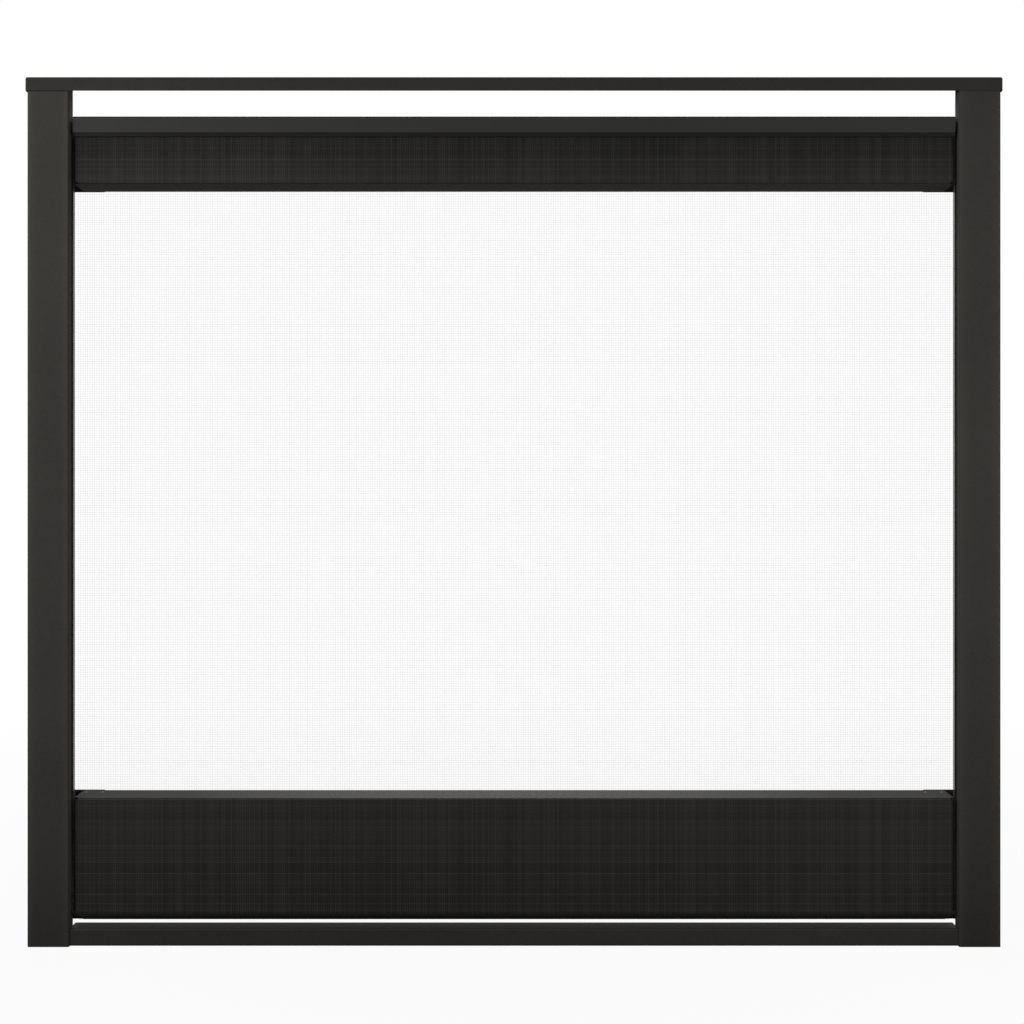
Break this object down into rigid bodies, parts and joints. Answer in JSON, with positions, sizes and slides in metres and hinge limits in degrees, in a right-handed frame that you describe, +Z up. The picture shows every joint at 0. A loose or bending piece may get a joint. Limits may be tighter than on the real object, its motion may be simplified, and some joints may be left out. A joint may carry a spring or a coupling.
{
  "type": "fireplace screen front",
  "caption": "Black steel fireplace front: two folded posts, a cap and a bottom bar, with a wire mesh screen between solid valances that lifts off its hanger studs.",
  "frame": {"origin": "on the floor, under the middle of the whole front's bounding box", "axes": "+X to the right as seen from the room, +Y back into the fireplace, +Z up; the front faces -Y"},
  "size_m": [1.0672, 0.0698, 0.95],
  "materials": {
    "frame_coat": "warm black powder coat, fine texture",
    "screen_coat": "satin black coat",
    "mesh_wire": "black coated woven wire",
    "hanger_steel": "zinc plated",
    "fastener_black": "black oxide"
  },
  "bodies": {
    "frame": {"left_post": "frame_coat", "right_post": "frame_coat", "top_cap": "frame_coat", "bottom_bar": "frame_coat", "left_cap_bracket": "frame_coat", "right_cap_bracket": "frame_coat", "cap_bracket_screws": "fastener_black", "bottom_bar_rivets": "fastener_black", "upper_left_ear": "frame_coat", "upper_right_ear": "frame_coat", "lower_left_ear": "frame_coat", "lower_right_ear": "frame_coat", "ear_rivets": "fastener_black", "hanger_studs": "hanger_steel"},
    "screen": {"upper_valance": "screen_coat", "lower_valance": "screen_coat", "top_rail": "screen_coat", "top_rail_rivets": "fastener_black", "upper_mesh_clamp": "screen_coat", "lower_mesh_clamp": "screen_coat", "lower_clamp_rivets": "fastener_black", "left_stile": "screen_coat", "right_stile": "screen_coat", "valance_end_rivets": "fastener_black", "wire_mesh": "mesh_wire", "wire_mesh_roll": "mesh_wire", "wire_mesh_left_wing": "mesh_wire", "wire_mesh_right_wing": "mesh_wire", "upper_left_hook": "hanger_steel", "upper_right_hook": "hanger_steel", "lower_left_hook": "hanger_steel", "lower_right_hook": "hanger_steel", "hook_rivets": "fastener_black"}
  },
  "joints": [
    {"name": "screen_lift", "type": "slide", "parent": "frame", "child": "screen", "axis": [0, 0, 1], "range_m": [0, 0.036]}
  ]
}
